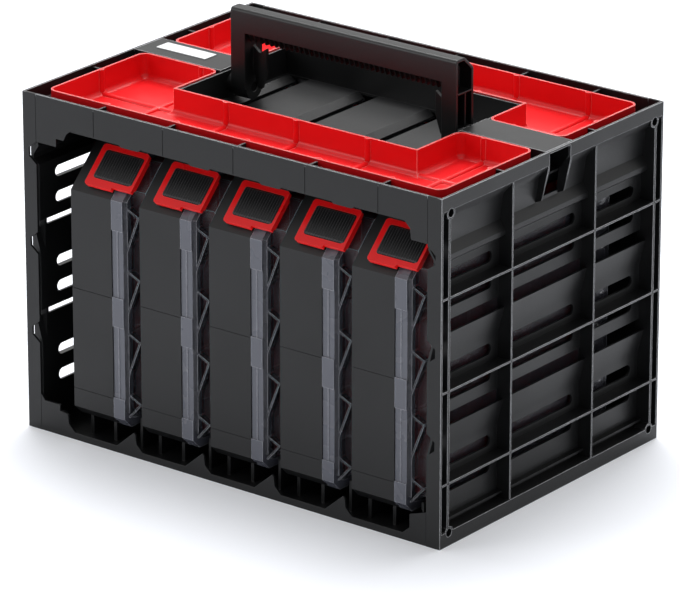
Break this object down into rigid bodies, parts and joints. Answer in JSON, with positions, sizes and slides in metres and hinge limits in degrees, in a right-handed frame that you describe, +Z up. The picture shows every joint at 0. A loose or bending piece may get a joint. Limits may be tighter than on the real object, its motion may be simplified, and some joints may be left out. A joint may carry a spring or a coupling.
{
  "type": "tool case organizer",
  "caption": "Black plastic rack that carries small-parts cases on edge, with red latches, clear lids, two red lift-out trays and a folding handle on top",
  "frame": {"origin": "middle of the footprint, on the surface that the rack stands on", "axes": "+Z up, +Y to the rear (cases pull out along -Y), +X to the right as seen from the front"},
  "size_m": [0.415, 0.29, 0.3405],
  "materials": {
    "rack_plastic": "satin, fine grained",
    "case_plastic": "satin, fine grained",
    "clear_plastic": "smoky clear",
    "red_plastic": "satin gloss",
    "bin_plastic": "satin gloss",
    "pad_plastic": "fine ribs",
    "label_plastic": "plain, blank",
    "steel": "zinc plated"
  },
  "bodies": {
    "rack": {"top_panel": "rack_plastic", "base_panel": "rack_plastic", "left_side_wall": "rack_plastic", "right_side_wall": "rack_plastic", "rear_wall": "rack_plastic", "handle_pins": "steel", "blank_label_plate": "label_plastic", "corner_screws": "steel"},
    "front_tray": {"front_parts_tray": "red_plastic"},
    "rear_tray": {"rear_parts_tray": "red_plastic"},
    "handle": {"carry_handle": "rack_plastic"},
    "case_1": {"case_1_base": "case_plastic", "case_1_lid": "clear_plastic", "case_1_hinge_pin": "steel", "case_1_bins": "bin_plastic"},
    "case_1_front_latch": {"case_1_front_latch": "red_plastic", "case_1_front_latch_pad": "pad_plastic"},
    "case_1_rear_latch": {"case_1_rear_latch": "red_plastic", "case_1_rear_latch_pad": "pad_plastic"},
    "case_2": {"case_2_base": "case_plastic", "case_2_lid": "clear_plastic", "case_2_hinge_pin": "steel", "case_2_bins": "bin_plastic"},
    "case_2_front_latch": {"case_2_front_latch": "red_plastic", "case_2_front_latch_pad": "pad_plastic"},
    "case_2_rear_latch": {"case_2_rear_latch": "red_plastic", "case_2_rear_latch_pad": "pad_plastic"},
    "case_3": {"case_3_base": "case_plastic", "case_3_lid": "clear_plastic", "case_3_hinge_pin": "steel", "case_3_bins": "bin_plastic"},
    "case_3_front_latch": {"case_3_front_latch": "red_plastic", "case_3_front_latch_pad": "pad_plastic"},
    "case_3_rear_latch": {"case_3_rear_latch": "red_plastic", "case_3_rear_latch_pad": "pad_plastic"},
    "case_4": {"case_4_base": "case_plastic", "case_4_lid": "clear_plastic", "case_4_hinge_pin": "steel", "case_4_bins": "bin_plastic"},
    "case_4_front_latch": {"case_4_front_latch": "red_plastic", "case_4_front_latch_pad": "pad_plastic"},
    "case_4_rear_latch": {"case_4_rear_latch": "red_plastic", "case_4_rear_latch_pad": "pad_plastic"},
    "case_5": {"case_5_base": "case_plastic", "case_5_lid": "clear_plastic", "case_5_hinge_pin": "steel", "case_5_bins": "bin_plastic"},
    "case_5_front_latch": {"case_5_front_latch": "red_plastic", "case_5_front_latch_pad": "pad_plastic"},
    "case_5_rear_latch": {"case_5_rear_latch": "red_plastic", "case_5_rear_latch_pad": "pad_plastic"}
  },
  "joints": [
    {"name": "handle_fold", "type": "hinge", "parent": "rack", "child": "handle", "pos_m": [0.0059, 0.004, 0.2732], "axis": [-1, 0, 0], "range_deg": [0, 90]},
    {"name": "front_tray_lift", "type": "slide", "parent": "rack", "child": "front_tray", "axis": [0, 0, 1], "range_m": [0, 0.06]},
    {"name": "rear_tray_lift", "type": "slide", "parent": "rack", "child": "rear_tray", "axis": [0, 0, 1], "range_m": [0, 0.06]},
    {"name": "case_1_slide", "type": "slide", "parent": "rack", "child": "case_1", "axis": [0, -1, 0], "range_m": [0, 0.25]},
    {"name": "case_1_front_latch_hinge", "type": "hinge", "parent": "case_1", "child": "case_1_front_latch", "pos_m": [-0.1456, -0.13818, 0.21618], "axis": [0, -0.7071, -0.7071], "range_deg": [0, 18]},
    {"name": "case_1_rear_latch_hinge", "type": "hinge", "parent": "case_1", "child": "case_1_rear_latch", "pos_m": [-0.1456, 0.10318, 0.21618], "axis": [0, -0.7071, 0.7071], "range_deg": [0, 18]},
    {"name": "case_2_slide", "type": "slide", "parent": "rack", "child": "case_2", "axis": [0, -1, 0], "range_m": [0, 0.25]},
    {"name": "case_2_front_latch_hinge", "type": "hinge", "parent": "case_2", "child": "case_2_front_latch", "pos_m": [-0.0753, -0.13818, 0.21618], "axis": [0, -0.7071, -0.7071], "range_deg": [0, 18]},
    {"name": "case_2_rear_latch_hinge", "type": "hinge", "parent": "case_2", "child": "case_2_rear_latch", "pos_m": [-0.0753, 0.10318, 0.21618], "axis": [0, -0.7071, 0.7071], "range_deg": [0, 18]},
    {"name": "case_3_slide", "type": "slide", "parent": "rack", "child": "case_3", "axis": [0, -1, 0], "range_m": [0, 0.25]},
    {"name": "case_3_front_latch_hinge", "type": "hinge", "parent": "case_3", "child": "case_3_front_latch", "pos_m": [-0.005, -0.13818, 0.21618], "axis": [0, -0.7071, -0.7071], "range_deg": [0, 18]},
    {"name": "case_3_rear_latch_hinge", "type": "hinge", "parent": "case_3", "child": "case_3_rear_latch", "pos_m": [-0.005, 0.10318, 0.21618], "axis": [0, -0.7071, 0.7071], "range_deg": [0, 18]},
    {"name": "case_4_slide", "type": "slide", "parent": "rack", "child": "case_4", "axis": [0, -1, 0], "range_m": [0, 0.25]},
    {"name": "case_4_front_latch_hinge", "type": "hinge", "parent": "case_4", "child": "case_4_front_latch", "pos_m": [0.0653, -0.13818, 0.21618], "axis": [0, -0.7071, -0.7071], "range_deg": [0, 18]},
    {"name": "case_4_rear_latch_hinge", "type": "hinge", "parent": "case_4", "child": "case_4_rear_latch", "pos_m": [0.0653, 0.10318, 0.21618], "axis": [0, -0.7071, 0.7071], "range_deg": [0, 18]},
    {"name": "case_5_slide", "type": "slide", "parent": "rack", "child": "case_5", "axis": [0, -1, 0], "range_m": [0, 0.25]},
    {"name": "case_5_front_latch_hinge", "type": "hinge", "parent": "case_5", "child": "case_5_front_latch", "pos_m": [0.1356, -0.13818, 0.21618], "axis": [0, -0.7071, -0.7071], "range_deg": [0, 18]},
    {"name": "case_5_rear_latch_hinge", "type": "hinge", "parent": "case_5", "child": "case_5_rear_latch", "pos_m": [0.1356, 0.10318, 0.21618], "axis": [0, -0.7071, 0.7071], "range_deg": [0, 18]}
  ]
}
